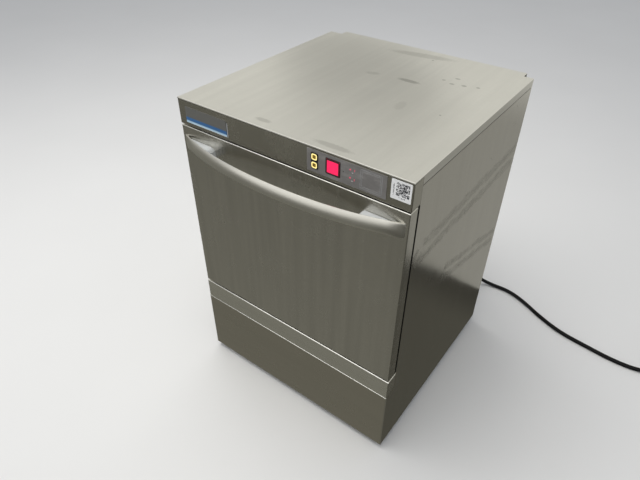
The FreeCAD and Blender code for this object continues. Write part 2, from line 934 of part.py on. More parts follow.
def arm_posts():
    """The hollow posts that feed the arms and carry their hubs."""
    centre = (0, "arm_centre", 0)
    lower = [
        (7, 186),
        ("post_radius", 186),
        ("post_radius", "tank_floor + liner"),
        (20, "tank_floor + liner"),
        (20, 214),
        (16, 214),
        (16, 266),
        ("post_radius", 266),
        ("post_radius", 306),
        (14.5, 306),
        (14.5, 311),
        (7, 311),
    ]
    upper = [
        (7, 713),
        (14.5, 713),
        (14.5, 717),
        ("post_radius", 717),
        ("post_radius", 757),
        (16, 757),
        (16, 762),
        (24, 762),
        (24, "ceiling_base"),
        ("post_radius", "ceiling_base"),
        ("post_radius", 779),
        (7, 779),
    ]
    node(turned(lower, centre), "lower_arm_post")
    node(turned(upper, centre), "upper_arm_post")


def wash_manifold():
    """The pipe from the wash pump: behind the chamber to the upper post, with a branch below."""
    centre = S["arm_centre"]
    main = bent_path(
        [(-125, 0, 148), (-125, 284, 148), (-125, 284, 794), (0, centre, 794), (0, centre, 779)],
        [30, 24, 14.5],
    )
    branch = bent_path([(-125, 120, 148), (0, 120, 148), (0, centre, 148), (0, centre, 186)], [26, 26])
    outer = pipe(main, 13).fuse(pipe(branch, 11))
    inner = pipe(main, 11).fuse(pipe(branch, 9))
    node(made(outer.cut(inner).removeSplitter()), "wash_manifold")


# ---------------------------------------------------------------- machine base


def wash_pump():
    """The wash pump: a volute with its suction and outlet stubs, the motor, and one rotor."""
    line = ("pump_line", "pump_height")
    volute = fuse(
        rod("X", line, 58, -150, -100),
        rod("X", line, 22, -101, -80),
        rod("Y", (-125, 148), 16, "pump_line", 0),
        box((-148, "pump_line - 40", 42), (-102, "pump_line + 40", 70)),
    )
    hollow = fuse(
        rod("X", line, 52, -146, -104),
        rod("X", line, 16, -110, -79),
        rod("Y", (-125, 148), 12, "pump_line + 20", 1),
        rod("X", line, 9, -151, -140),
    )
    node(cut(volute, hollow), "wash_pump_housing")
    fins = [rod("X", line, 54, -262 + 14 * i, -258 + 14 * i) for i in range(7)]
    saddle = box((-250, "pump_line - 30", 42), (-180, "pump_line + 30", 66))
    case = fuse(rod("X", line, 50, -274, -151), *fins, saddle)
    bore = rod("X", line, "shaft_radius + running_fit", -275, -150)
    node(cut(case, rod("X", line, 31, -262, -158), bore), "wash_pump_motor")
    blades = []
    for i in range(6):
        blade = box((-135, 10, -1.5), (-116, 44, 1.5))
        blade.Placement.Rotation = FreeCAD.Rotation(V(1, 0, 0), 60 * i)
        blade.setExpression("Placement.Base.y", expression(f"pump_line + 10*cos({60 * i})"))
        blade.setExpression("Placement.Base.z", expression(f"pump_height + 10*sin({60 * i})"))
        blades.append(blade)
    rotor = fuse(
        rod("X", line, "shaft_radius", -270, -114),
        rod("X", line, 46, -138, -134),
        rod("X", line, 13, -136, -114),
        rod("X", line, 30, -255, -165),
        *blades,
    )
    node(rotor, "wash_pump_rotor")


def suction_elbow():
    """The bend from the sump's floor to the wash pump."""
    line, height = S["pump_line"], S["pump_height"]
    path = bent_path([(SUMP[0], line, S["sump_floor"]), (SUMP[0], line, height), (-80, line, height)], [24])
    node(made(pipe(path, 19).cut(pipe(path, 16))), "suction_elbow")


def drain():
    """The drain pump under the sump, and the hose to the outlet at the rear."""
    pump = fuse(
        rod("Z", (150, -95), 30, 80, 110),
        rod("Z", (150, -95), 25, 46, 80),
        rod("Z", (143, -88), 8, 110, "sump_floor"),
        rod("X", (-115, 95), 9, 150, 190),
    )
    node(pump, "drain_pump")
    x, z = S["drain_across"], S["drain_height"]
    points = [(190, -115, 95), (228, -115, 95), (x, -60, 88), (x, 10, z), (x, 302, z)]
    path = bent_path(points, [34, 50, 60])
    spigot = rod("Y", ("drain_across", "drain_height"), "drain_radius", 298, "lid_reach - 4")
    bore = rod("Y", ("drain_across", "drain_height"), "drain_radius - 3.5", 297, "lid_reach - 3")
    node(cut(fuse(made(pipe(path, 9.5)), spigot), fuse(made(pipe(path, 7.5)), bore)), "drain_hose")


def rinse_boiler():
    """The boiler that heats the rinse water, on two saddles."""
    line = (190, 110)
    barrel = rod("X", line, 62, 60, 236)
    tank = rounded(barrel, 12, lambda edge: edge.Curve.TypeId == "Part::GeomCircle")
    hollow = rod("X", line, 56, 68, 228)
    saddles = [box((x, 150, 42), (x + 20, 230, 66)) for x in (90, 186)]
    flange = rod("X", line, 34, 235, 244)
    stubs = [rod("Z", (x, 190), 8, 160, 186) for x in (100, 200)]
    node(cut(fuse(tank, *saddles, flange, *stubs), hollow), "rinse_boiler")


def water_inlet_valve():
    """The solenoid valve whose threaded inlet stands out of the rear panel."""
    valve = fuse(
        rod("Y", ("inlet_across", "inlet_height"), "inlet_radius", 290, "lid_reach - 3"),
        box(
            ("inlet_across - 20", 256, "inlet_height - 20"),
            ("inlet_across + 20", 300, "inlet_height + 20"),
        ),
        rod("Z", ("inlet_across", 278), 17, "inlet_height + 20", "inlet_height + 56"),
        rod("X", (272, "inlet_height"), 7, "inlet_across + 20", "inlet_across + 44"),
    )
    bore = rod("Y", ("inlet_across", "inlet_height"), "inlet_radius - 3.5", 300, "lid_reach")
    node(cut(valve, bore), "water_inlet_valve")


def dosing_pumps():
    """Two peristaltic pumps, for detergent and rinse aid, on one bracket behind the kick panel."""
    pumps = []
    for height in (58, 128):
        case = box((196, -226, height), (256, -180, height + 56))
        head = rod("Y", (226, height + 28), 24, -250, -225)
        pumps.append(fuse(case, head))
    node(group(*pumps), "dosing_pumps")


def electrics():
    """The open control box over the chamber, and the circuit board behind the fascia."""
    outside = box((40, -225, 771), (250, -100, 822))
    node(cut(outside, box((41.5, -223.5, 772.5), (248.5, -101.5, 823))), "control_box")
    board = box((56, "-front_reach + 16", 772), (252, "-front_reach + 17.6", 822))
    switches = [
        box(
            (f"{across} - 4", "-front_reach + 8.5 + key_travel", f"{height} - 4"),
            (f"{across} + 4", "-front_reach + 16", f"{height} + 4"),
        )
        for _, across, height, _ in key_places()
    ]
    corners = [(x, z) for x in (62, 246) for z in (778, 818)]
    posts = [rod("Y", corner, 2.5, "-front_reach + sheet", "-front_reach + 16") for corner in corners]
    node(fuse(board, *switches, *posts), "circuit_board")


# ---------------------------------------------------------------- supply cable

# The cable's route, chosen by hand: out of the gland, down to the floor behind the machine,
# along the floor to the right, and up onto the coil, which it winds down.
ROUTE = [
    (215, 348, 140),
    (215, 402, 140),
    (223, 450, 110),
    (242, 480, 66),
    (272, 492, 27),
    (322, 491, 6.2),
    (396, 476, 6.2),
    (478, 450, 6.2),
    (560, 421, 6.2),
    (642, 411, 6.2),
    (728, 408, 6.2),
    (806, 420, 6.2),
    (872, 440, 26),
    (930, 456.5, 44),
]
COIL_CENTRE = (938, 522)
COIL_TURNS = 3.25


def cord_bends(points):
    """Each bend as large as its two runs allow."""
    corners = [V(*point) for point in points]
    radii = []
    for before, corner, after in zip(corners, corners[1:], corners[2:]):
        into, out = corner - before, after - corner
        shorter = min(into.Length, out.Length)
        radii.append(0.45 * shorter / math.tan(into.getAngle(out) / 2))
    return radii


def cable_gland():
    """A nut, a hexagon-sized body and a tapered sleeve, on the rear panel."""
    profile = [
        (0, "side_reach - 9"),
        (14, "side_reach - 9"),
        (14, "side_reach - 2*sheet"),
        (9.6, "side_reach - 2*sheet"),
        (9.6, "side_reach - sheet"),
        (14, "side_reach - sheet"),
        (14, "side_reach + 9"),
        (12, "side_reach + 14"),
        (9, "side_reach + 18"),
        (7.4, "side_reach + 40"),
        (0, "side_reach + 40"),
    ]
    node(turned(profile, ("gland_across", 0, "gland_height"), "Y"), "cable_gland")


def supply_cable():
    """The rubber cable along the stretch that isn't coiled, and the coil of the rest."""
    radius = S["cable_radius"]
    bends = cord_bends(ROUTE)
    path = bent_path(ROUTE, bends)
    tube = pipe(path, radius)
    node(made(tube), "supply_cable")
    print("cable bends", [round(value) for value in bends])
    ratio = tube.Volume / (math.pi * radius**2 * path.Length)
    print("cable length", round(path.Length), "volume ratio", round(ratio, 3))
    height = f"2*cable_radius*{COIL_TURNS + 1}"
    coil = cut(
        rod("Z", COIL_CENTRE, "coil_radius + cable_radius + 1", 0, height),
        rod("Z", COIL_CENTRE, "coil_radius - cable_radius - 1", -1, height + " + 1"),
    )
    node(coil, "cable_coil")


def plug():
    """A round industrial plug: grip, collar and a shrouded face with three pins."""
    body = turned(
        [
            (0, 0),
            (8, 0),
            (9, 18),
            (13, 34),
            (20, 66),
            (22, 80),
            (27, 84),
            (27, 94),
            (24, 96),
            (24, 126),
            (21, 126),
            (21, 98),
            (0, 98),
        ],
        (0, 0, 0),
        "Y",
    )
    pins = [
        rod("Y", (11 * math.cos(turn), 11 * math.sin(turn)), 2.5, 97, 122)
        for turn in [math.radians(90 + 120 * i) for i in range(3)]
    ]
    whole = fuse(body, *pins)
    # The plug lies on its tail and its collar, so its nose points up a little.
    whole.Placement = FreeCAD.Placement(V(1004, 552, 7.95), FreeCAD.Rotation(V(1, 0, 0), 12.7))
    node(whole, "plug")


# ---------------------------------------------------------------- assembly and export


def build():
    base_frame()
    feet()
    right = side_panel()
    node(right, "side_panel_right")
    node(mirrored(right), "side_panel_left")
    rear_panel()
    panel_screws()
    top_cover()
    control_fascia()
    control_film()
    badge_plate()
    asset_label()
    keys()
    door_sill_strip()
    kick_panel()
    front_frame()
    hinge_pins()
    door_hinge_plates()
    hinge_springs()
    door_seal()
    door_outer_panel()
    door_inner_panel()
    handle_bow()
    handle_fillers()
    chamber_walls()
    tank_basin()
    rack_rails()
    strainer()
    tank_heater()
    spray_arms()
    arm_posts()
    wash_manifold()
    wash_pump()
    suction_elbow()
    drain()
    rinse_boiler()
    water_inlet_valve()
    dosing_pumps()
    electrics()
    cable_gland()
    supply_cable()
    plug()


def check():
    """Stops if any object failed, or any sub-part is empty or broken."""
    failed = [item for item in doc.Objects if {"Invalid", "Error"} & set(item.State)]
    faults = [f"{item.Label}: {item.State}" for item in failed]
    for part in PARTS:
        if part.Shape.isNull() or not part.Shape.isValid() or part.Shape.Volume <= 0:
            faults.append(f"{part.Label}: empty or broken shape")
    if faults:
        raise SystemExit("\n".join(faults))


build()
doc.recompute()
check()
os.makedirs("parts", exist_ok=True)
for part in PARTS:
    part.Shape.exportStep(f"parts/{part.Label}.step")
print(len(PARTS), "parts")
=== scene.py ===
import json
import math

import bpy
from mathutils import Matrix, Vector


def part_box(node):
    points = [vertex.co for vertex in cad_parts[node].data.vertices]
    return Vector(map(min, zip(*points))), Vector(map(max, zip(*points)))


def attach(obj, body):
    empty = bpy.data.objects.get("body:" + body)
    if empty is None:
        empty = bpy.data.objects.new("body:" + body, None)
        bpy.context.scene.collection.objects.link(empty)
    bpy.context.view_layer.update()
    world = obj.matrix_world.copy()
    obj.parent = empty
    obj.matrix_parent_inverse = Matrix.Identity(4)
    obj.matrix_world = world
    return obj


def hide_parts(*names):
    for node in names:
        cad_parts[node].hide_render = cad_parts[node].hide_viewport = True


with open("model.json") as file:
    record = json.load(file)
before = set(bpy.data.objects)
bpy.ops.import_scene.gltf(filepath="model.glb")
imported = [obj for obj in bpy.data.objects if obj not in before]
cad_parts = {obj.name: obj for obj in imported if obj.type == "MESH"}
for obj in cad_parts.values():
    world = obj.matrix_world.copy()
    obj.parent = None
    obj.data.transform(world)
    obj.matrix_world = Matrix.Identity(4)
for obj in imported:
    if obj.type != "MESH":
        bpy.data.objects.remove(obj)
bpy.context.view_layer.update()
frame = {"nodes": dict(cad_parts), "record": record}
NODES = frame["nodes"]

# An undercounter commercial dishwasher. Metres, in the frame of the CAD model:
# +X is to the right as the user faces the door, -Y is the front and +Z is up.

MM = 0.001

# ---------------------------------------------------------------- places read from the frame

front_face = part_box("control_fascia")[0].y
lid_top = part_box("top_cover")[1].z
side_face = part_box("side_panel_right")[1].x
film_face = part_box("control_film")[0].y
bow_low, bow_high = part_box("handle_bow")


def middle(node):
    """The centre of a CAD node's box."""
    low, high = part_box(node)
    return (low + high) / 2


# ---------------------------------------------------------------- camera

CAMERA_PLACE = (0.6302, -1.0008, 1.3171)
CAMERA_AZIMUTH = 36.42
CAMERA_ELEVATION = 38.22
CAMERA_ROLL = 0.35
CAMERA_LENS = 30.07
SENSOR_WIDTH = 36.0


def add_camera():
    """The camera looks down on the front right corner, and is centred on the door's upper part."""
    azimuth, elevation = math.radians(CAMERA_AZIMUTH), math.radians(CAMERA_ELEVATION)
    roll = math.radians(CAMERA_ROLL)
    back = Vector(
        (
            math.sin(azimuth) * math.cos(elevation),
            -math.cos(azimuth) * math.cos(elevation),
            math.sin(elevation),
        )
    )
    level = (-back).cross(Vector((0, 0, 1))).normalized()
    above = level.cross(-back)
    right = level * math.cos(roll) + above * math.sin(roll)
    up = above * math.cos(roll) - level * math.sin(roll)
    data = bpy.data.cameras.new("camera")
    data.lens = CAMERA_LENS
    data.sensor_width = SENSOR_WIDTH
    camera = bpy.data.objects.new("camera", data)
    turn = Matrix((right, up, back)).transposed().to_4x4()
    camera.matrix_world = Matrix.Translation(CAMERA_PLACE) @ turn
    bpy.context.scene.collection.objects.link(camera)
    bpy.context.scene.camera = camera


# ---------------------------------------------------------------- mesh helpers


def add_piece(name, verts, faces, material, sharp=35):
    """A mesh piece with smooth faces, whose edges over the sharp angle stay crisp."""
    mesh = bpy.data.meshes.new(name)
    mesh.from_pydata(verts, [], faces)
    mesh.validate()
    for polygon in mesh.polygons:
        polygon.use_smooth = True
    mesh.set_sharp_from_angle(angle=math.radians(sharp))
    mesh.materials.append(material)
    piece = bpy.data.objects.new(name, mesh)
    bpy.context.scene.collection.objects.link(piece)
    return piece


def loft(rings, looped=False):
    """Vertices and faces of a skin over rings with the same number of points. Its two ends are
    capped, or where it is looped the last ring joins the first."""
    count = len(rings[0])
    verts = [tuple(point) for ring in rings for point in ring]
    faces = []
    for i in range(len(rings) if looped else len(rings) - 1):
        a, b = i * count, (i + 1) % len(rings) * count
        for j in range(count):
            k = (j + 1) % count
            faces.append((a + j, a + k, b + k, b + j))
    if not looped:
        faces.append(tuple(reversed(range(count))))
        faces.append(tuple(range((len(rings) - 1) * count, len(rings) * count)))
    return verts, faces


def rounded_rectangle(width, height, radius, steps=5):
    """Points of a rectangle with rounded corners about the origin, anticlockwise."""
    points = []
    for corner, (sx, sy) in enumerate(((1, 1), (-1, 1), (-1, -1), (1, -1))):
        for i in range(steps + 1):
            turn = math.radians(90 * corner + 90 * i / steps)
            across = sx * (width / 2 - radius) + radius * math.cos(turn)
            up = sy * (height / 2 - radius) + radius * math.sin(turn)
            points.append((across, up))
    return points


RING_EDGE = 0.15 * MM
PLATE_EDGE = 0.2 * MM
LEAST_CORNER = 0.3 * MM


def front_ring(name, centre, outer, inner, corner, depth, raised, material):
    """A flat frame that stands on the fascia: outer and inner are (width, height)."""
    x, z = centre
    edge = min(RING_EDGE, raised / 2)
    inner_corner = max(corner - (outer[0] - inner[0]) / 2, LEAST_CORNER)
    rings = []
    for size, radius, height in (
        (outer, corner, 0),
        (outer, corner, raised - edge),
        ((outer[0] - 2 * edge, outer[1] - 2 * edge), corner - edge, raised),
        ((inner[0] + 2 * edge, inner[1] + 2 * edge), inner_corner + edge, raised),
        (inner, inner_corner, raised - edge),
        (inner, inner_corner, 0),
    ):
        points = rounded_rectangle(*size, radius)
        rings.append([(x + a, depth - height, z + b) for a, b in points])
    return add_piece(name, *loft(rings, looped=True), material)


def front_plate(name, centre, size, corner, depth, raised, material):
    """A flat plate with a rounded outline and a softened edge that stands on the fascia."""
    x, z = centre
    edge = min(PLATE_EDGE, raised / 2)
    rings = []
    for inset, height in ((0, 0), (0, raised - edge), (edge, raised)):
        points = rounded_rectangle(size[0] - 2 * inset, size[1] - 2 * inset, corner - inset)
        rings.append([(x + a, depth - height, z + b) for a, b in points])
    return add_piece(name, *loft(rings), material)


# ---------------------------------------------------------------- material helpers


def rgba(value):
    """A colour with its alpha; anything else stays as it is."""
    return (*value, 1.0) if isinstance(value, tuple) and len(value) == 3 else value


class Graph:
    """A material built node by node. Each call gives back an output socket."""

    def __init__(self, name):
        self.material = bpy.data.materials.new(name)
        self.material.use_nodes = True
        self.nodes = self.material.node_tree.nodes
        self.links = self.material.node_tree.links
        self.shader = self.nodes["Principled BSDF"]
        self.place = self.nodes.new("ShaderNodeTexCoord").outputs["Object"]

    def feed(self, socket, value):
        """Links another node's output to a socket, or sets the socket's own value."""
        if isinstance(value, bpy.types.NodeSocket):
            self.links.new(value, socket)
        else:
            socket.default_value = value

    def set(self, **inputs):
        """Sets the shader's inputs; Base_Color stands for Base Color."""
        for name, value in inputs.items():
            self.feed(self.shader.inputs[name.replace("_", " ")], rgba(value))
        return self.material

    def math(self, operation, first, second=0.0, third=0.0):
        """The result of one operation on up to three numbers."""
        node = self.nodes.new("ShaderNodeMath")
        node.operation = operation
        for socket, value in zip(node.inputs, (first, second, third)):
            self.feed(socket, value)
        return node.outputs[0]

    def moved(self, centre=(0, 0, 0), scale=(1, 1, 1), turn=(0, 0, 0)):
        """The place measured from a centre, along turned axes, in units of scale."""
        node = self.nodes.new("ShaderNodeMapping")
        node.vector_type = "TEXTURE"
        self.feed(node.inputs["Vector"], self.place)
        self.feed(node.inputs["Location"], centre)
        self.feed(node.inputs["Rotation"], turn)
        self.feed(node.inputs["Scale"], scale)
        return node.outputs[0]

    def parts(self, vector):
        """The x, y and z of a vector."""
        node = self.nodes.new("ShaderNodeSeparateXYZ")
        self.feed(node.inputs[0], vector)
        return node.outputs

    def noise(self, size, detail=2.0, rough=0.5, seed=(0, 0, 0)):
        """Noise between 0 and 1 whose features have this size along each axis, in metres."""
        size = size if isinstance(size, tuple) else (size, size, size)
        node = self.nodes.new("ShaderNodeTexNoise")
        self.feed(node.inputs["Vector"], self.moved(seed, size))
        node.inputs["Scale"].default_value = 1.0
        node.inputs["Detail"].default_value = detail
        node.inputs["Roughness"].default_value = rough
        return node.outputs["Fac"]

    def ease(self, value, start, end, low=0.0, high=1.0):
        """A smooth step from low to high as the value goes from start to end."""
        node = self.nodes.new("ShaderNodeMapRange")
        node.interpolation_type = "SMOOTHSTEP"
        names = ("Value", "From Min", "From Max", "To Min", "To Max")
        for name, number in zip(names, (value, start, end, low, high)):
            self.feed(node.inputs[name], number)
        return node.outputs[0]

    def mix(self, factor, first, second):
        """A colour between first and second."""
        node = self.nodes.new("ShaderNodeMix")
        node.data_type = "RGBA"
        self.feed(node.inputs[0], factor)
        self.feed(node.inputs[6], rgba(first))
        self.feed(node.inputs[7], rgba(second))
        return node.outputs[2]

    def bump(self, height, depth):
        """Relief of this depth in metres."""
        node = self.nodes.new("ShaderNodeBump")
        node.inputs["Strength"].default_value = 1.0
        node.inputs["Distance"].default_value = depth
        self.feed(node.inputs["Height"], height)
        return node.outputs[0]

    def patch(self, centre, size, turn=(0, 0, 0), ragged=0.6, grain=8 * MM):
        """A soft patch, 1 at its centre and 0 outside, with a broken outline."""
        node = self.nodes.new("ShaderNodeVectorMath")
        node.operation = "LENGTH"
        self.feed(node.inputs[0], self.moved(centre, size, turn))
        rim = self.noise(grain, 3.0, 0.6)
        broken = self.math("MULTIPLY_ADD", rim, ragged, node.outputs["Value"])
        return self.ease(broken, 1.0 + ragged / 2, 0.5 + ragged / 2)

    def highest(self, values):
        """The largest of several values."""
        top = values[0]
        for value in values[1:]:
            top = self.math("MAXIMUM", top, value)
        return top


GRAIN_ACROSS = 0.45 * MM
GRAIN_ALONG = 45 * MM
GRAIN_DEPTH = 0.003 * MM
STREAK_ACROSS = 22 * MM
STREAK_ALONG = 550 * MM
SCRATCH_ACROSS = 0.7 * MM
SCRATCH_ALONG = 60 * MM
SCRATCH_ZONE = 70 * MM
CLOUD_SIZE = 170 * MM
WIPE_SIZE = (0.06, 0.06, 0.09)
MOTTLE_SIZE = 7 * MM
RESIDUE = (0.20, 0.195, 0.175)
SPLASH = (0.95, 0.95, 0.92)


def along(axis, length, width):
    """A size that is long along one axis."""
    return tuple(length if letter == axis else width for letter in "XYZ")


def steel(name, colour, rough, grain="Z", streak=0.05, dirt=None, specks=None):
    """Satin stainless steel: fine grain along one axis, faint streaks, wipe marks and hairline
    scratches. dirt and specks are functions that give the amount of dull residue and of pale
    splashes."""
    graph = Graph(name)
    fine = graph.noise(along(grain, GRAIN_ALONG, GRAIN_ACROSS), 2.0, 0.6)
    streak_size = along(grain, STREAK_ALONG, STREAK_ACROSS)
    streaks = graph.noise(streak_size, 3.0, 0.55, (0.13, 0.27, 0.41))
    clouds = graph.noise(CLOUD_SIZE, 3.0, 0.55, (0.31, 0.07, 0.19))
    wipes = graph.ease(graph.noise(WIPE_SIZE, 4.0, 0.62, (0.7, 0.2, 0.5)), 0.5, 0.78)
    mottle = graph.noise(MOTTLE_SIZE, 3.0, 0.6, (0.2, 0.9, 0.4))
    scratch_size = along(grain, SCRATCH_ALONG, SCRATCH_ACROSS)
    lines = graph.noise(scratch_size, 1.0, 0.5, (0.9, 0.4, 0.3))
    zone = graph.ease(graph.noise(SCRATCH_ZONE, 2.0, 0.5, (0.5, 0.8, 0.1)), 0.52, 0.74)
    scratches = graph.math("MULTIPLY", graph.ease(lines, 0.72, 0.82), zone)
    darker = tuple((1 - 1.4 * streak) * c for c in colour)
    lighter = tuple(min(1.0, (1 + streak) * c) for c in colour)
    base = graph.mix(graph.ease(streaks, 0.25, 0.75), darker, lighter)
    base = graph.mix(graph.math("MULTIPLY", graph.ease(clouds, 0.35, 0.8), 0.5), base, darker)
    base = graph.mix(graph.math("MULTIPLY", graph.ease(mottle, 0.4, 0.7), 0.35), base, darker)
    roughness = graph.math("MULTIPLY_ADD", clouds, 0.08, rough - 0.06)
    roughness = graph.math("MULTIPLY_ADD", wipes, 0.05, roughness)
    roughness = graph.math("MULTIPLY_ADD", fine, 0.05, roughness)
    if dirt is not None:
        marks = dirt(graph)
        base = graph.mix(graph.math("MULTIPLY", marks, 0.5), base, RESIDUE)
        roughness = graph.math("MULTIPLY_ADD", marks, 0.12, roughness)
    if specks is not None:
        base = graph.mix(specks(graph), base, SPLASH)
    relief = graph.bump(graph.math("MULTIPLY_ADD", scratches, -0.25, fine), GRAIN_DEPTH)
    return graph.set(Base_Color=base, Metallic=1.0, Roughness=roughness, Normal=relief)


SPARK_SIZE = 1.2 * MM
DUST_SIZE = 4.5 * MM
DUST_SHARE = 0.12
DUST = (0.55, 0.53, 0.50)


def moulded(name, colour, rough=0.45):
    """Moulded plastic: a fine spark-eroded texture, with dust in it and rubbed places."""
    graph = Graph(name)
    texture = graph.noise(SPARK_SIZE, 2.0, 0.6)
    wear = graph.ease(graph.noise(0.03, 4.0, 0.6, (0.2, 0.6, 0.9)), 0.5, 0.8)
    dust = graph.ease(graph.noise(DUST_SIZE, 3.0, 0.7, (0.4, 0.1, 0.7)), 0.58, 0.8)
    lighter = tuple(min(1.0, c * 1.25 + 0.02) for c in colour)
    base = graph.mix(graph.math("MULTIPLY", wear, 0.5), colour, lighter)
    base = graph.mix(graph.math("MULTIPLY", dust, DUST_SHARE), base, DUST)
    return graph.set(
        Base_Color=base,
        Roughness=graph.math("MULTIPLY_ADD", wear, 0.12, rough),
        Normal=graph.bump(texture, 0.05 * MM),
    )


# ---------------------------------------------------------------- stage and lights


def emitter(name, low, high, axis, start, end, patch=None):
    """A glowing surface for a reflecting card. Its colour goes from low to high along an axis, and
    a patch of (centre, size, share) is dimmer."""
    graph = Graph(name)
    glow = graph.mix(graph.ease(graph.parts(graph.place)[axis], start, end), low, high)
    if patch is not None:
        centre, size, share = patch
        weight = graph.math("MULTIPLY", graph.patch(centre, size, ragged=0.0), 1 - share)
        glow = graph.mix(weight, glow, (0.0, 0.0, 0.0))
    return graph.set(
        Base_Color=(0.0, 0.0, 0.0),
        Roughness=1.0,
        Specular_IOR_Level=0.0,
        Emission_Color=glow,
        Emission_Strength=1.0,
    )


def sheet_between(name, corners, material):
    """A flat stage sheet with four corners."""
    mesh = bpy.data.meshes.new(name)
    mesh.from_pydata(corners, [], [(0, 1, 2, 3)])
    mesh.materials.append(material)
    sheet = bpy.data.objects.new(name, mesh)
    bpy.context.scene.collection.objects.link(sheet)
    return sheet


def reflected_only(card):
    """A studio card that only reflections see."""
    card.visible_camera = False
    card.visible_diffuse = False
    card.visible_shadow = False
    card.visible_transmission = False
    card.visible_volume_scatter = False


Y, Z = 1, 2
FLOOR_HALF = 14.0
WALL_DEPTH = 0.46
FRONT_DEPTH = -2.6
CARD_FAR = 3.0
CEILING_HEIGHT = 3.0
WALL_HEIGHT = 2.6
LOW_HEIGHT = 2.2


def flat(low_x, high_x, low_y, high_y, z):
    """The corners of a level rectangle."""
    return [(low_x, low_y, z), (high_x, low_y, z), (high_x, high_y, z), (low_x, high_y, z)]


def upright(start, end, height):
    """The corners of a wall that stands on the floor between two points."""
    return [(*start, 0), (*end, 0), (*end, height), (*start, height)]


def add_stage():
    """A pale floor, and reflecting cards in place of a room: dim cards on the floor, a pale wall
    behind that is dimmer low down, bright cards in front and above, and one on the left."""
    graph = Graph("stage_floor")
    soft = graph.noise(0.6, 3.0, 0.5)
    floor_material = graph.set(
        Base_Color=graph.mix(soft, (0.66, 0.66, 0.645), (0.70, 0.70, 0.685)),
        Roughness=0.75,
        Specular_IOR_Level=0.0,
    )
    half = FLOOR_HALF
    floor = sheet_between("floor", flat(-half, half, -half, half, 0), floor_material)
    floor.visible_glossy = False
    side, back, front, far = side_face, WALL_DEPTH, FRONT_DEPTH, CARD_FAR
    dim_patch = ((-0.30, back, 1.06), (0.46, 1.0, 0.22), 0.60)
    for name, corners, low, high, axis, start, end, patch in (
        (
            "card_front",
            flat(-far, side, front, back, 0),
            (0.160, 0.157, 0.134),
            (0.205, 0.201, 0.172),
            Y,
            -1.4,
            -0.5,
            None,
        ),
        (
            "card_side",
            flat(side, far, front, back, 0),
            (0.086, 0.083, 0.068),
            (0.050, 0.048, 0.040),
            Y,
            0.25,
            0.45,
            None,
        ),
        (
            "card_wall",
            upright((-far, back), (far, back), WALL_HEIGHT),
            (0.325, 0.320, 0.290),
            (0.850, 0.845, 0.790),
            Z,
            0.62,
            0.94,
            dim_patch,
        ),
        (
            "card_ahead",
            upright((-far, front), (far, front), LOW_HEIGHT),
            (0.90, 0.89, 0.85),
            (1.10, 1.09, 1.05),
            Z,
            0.0,
            1.2,
            None,
        ),
        (
            "card_ceiling",
            flat(-far, far, front, back, CEILING_HEIGHT),
            (1.85, 1.83, 1.75),
            (0.90, 0.89, 0.86),
            Y,
            -1.6,
            -0.6,
            None,
        ),
        (
            "card_left",
            upright((-far, front), (-far, back), LOW_HEIGHT),
            (0.36, 0.355, 0.33),
            (0.60, 0.595, 0.57),
            Z,
            0.0,
            1.6,
            None,
        ),
    ):
        glow = emitter(name + "_glow", low, high, axis, start, end, patch)
        reflected_only(sheet_between(name, corners, glow))


def add_light(name, place, target, size, power, colour):
    """A soft rectangular light aimed at a point. Reflections see the ceiling card instead."""
    data = bpy.data.lights.new(name, "AREA")
    data.shape = "RECTANGLE"
    data.size, data.size_y = size
    data.energy = power
    data.color = colour
    light = bpy.data.objects.new(name, data)
    light.location = place
    light.rotation_mode = "QUATERNION"
    light.rotation_quaternion = (Vector(target) - Vector(place)).to_track_quat("-Z", "Y")
    light.visible_glossy = False
    bpy.context.scene.collection.objects.link(light)


def add_lights():
    """A pale world, a broad ceiling light and a weaker light from the left front."""
    world = bpy.data.worlds.new("world")
    world.use_nodes = True
    background = world.node_tree.nodes["Background"]
    background.inputs["Color"].default_value = (0.93, 0.95, 1.0, 1)
    background.inputs["Strength"].default_value = 0.62
    bpy.context.scene.world = world
    bpy.context.scene.view_settings.view_transform = "Standard"
    above, left = (-0.5, -0.3, 3.0), (-2.4, -1.6, 1.9)
    add_light("ceiling_light", above, (0, 0, 0.4), (2.6, 1.6), 62, (1.0, 0.98, 0.95))
    add_light("left_light", left, (0, 0, 0.5), (1.4, 1.4), 14, (1.0, 0.98, 0.96))


# ---------------------------------------------------------------- supply cable

CABLE_DIAMETER = 12 * MM
CABLE_ROUTE = [
    (0.215, 0.348, 0.140),
    (0.215, 0.402, 0.140),
    (0.217, 0.441, 0.114),
    (0.227, 0.469, 0.066),
    (0.246, 0.488, 0.022),
    (0.288, 0.502, 0.0062),
    (0.348, 0.507, 0.0062),
    (0.408, 0.488, 0.0062),
    (0.478, 0.450, 0.0062),
    (0.556, 0.419, 0.0062),
    (0.642, 0.409, 0.0062),
    (0.728, 0.400, 0.0062),
    (0.806, 0.408, 0.0062),
    (0.872, 0.438, 0.026),
]
COIL_CENTRE = (0.938, 0.522)
COIL_RADIUS = 0.066
COIL_TURNS = 3.25
COIL_STEPS = 16
COIL_WAVE = 0.9 * MM
LYING_HEIGHT = 6.2 * MM
END_HEIGHT = 7.2 * MM
END_REACH = 30 * MM


def coil_points():
    """The coil's turns, wound down and anticlockwise, each a diameter below the last."""
    points = []
    steps = round(COIL_TURNS * COIL_STEPS)
    for i in range(steps + 1):
        turn = math.radians(-90 + 360 * i / COIL_STEPS)
        radius = COIL_RADIUS + COIL_WAVE * math.sin(1.7 * turn)
        x = COIL_CENTRE[0] + radius * math.cos(turn)
        y = COIL_CENTRE[1] + radius * math.sin(turn)
        height = LYING_HEIGHT + (steps - i) / COIL_STEPS * CABLE_DIAMETER
        points.append((x, y, height))
    return points


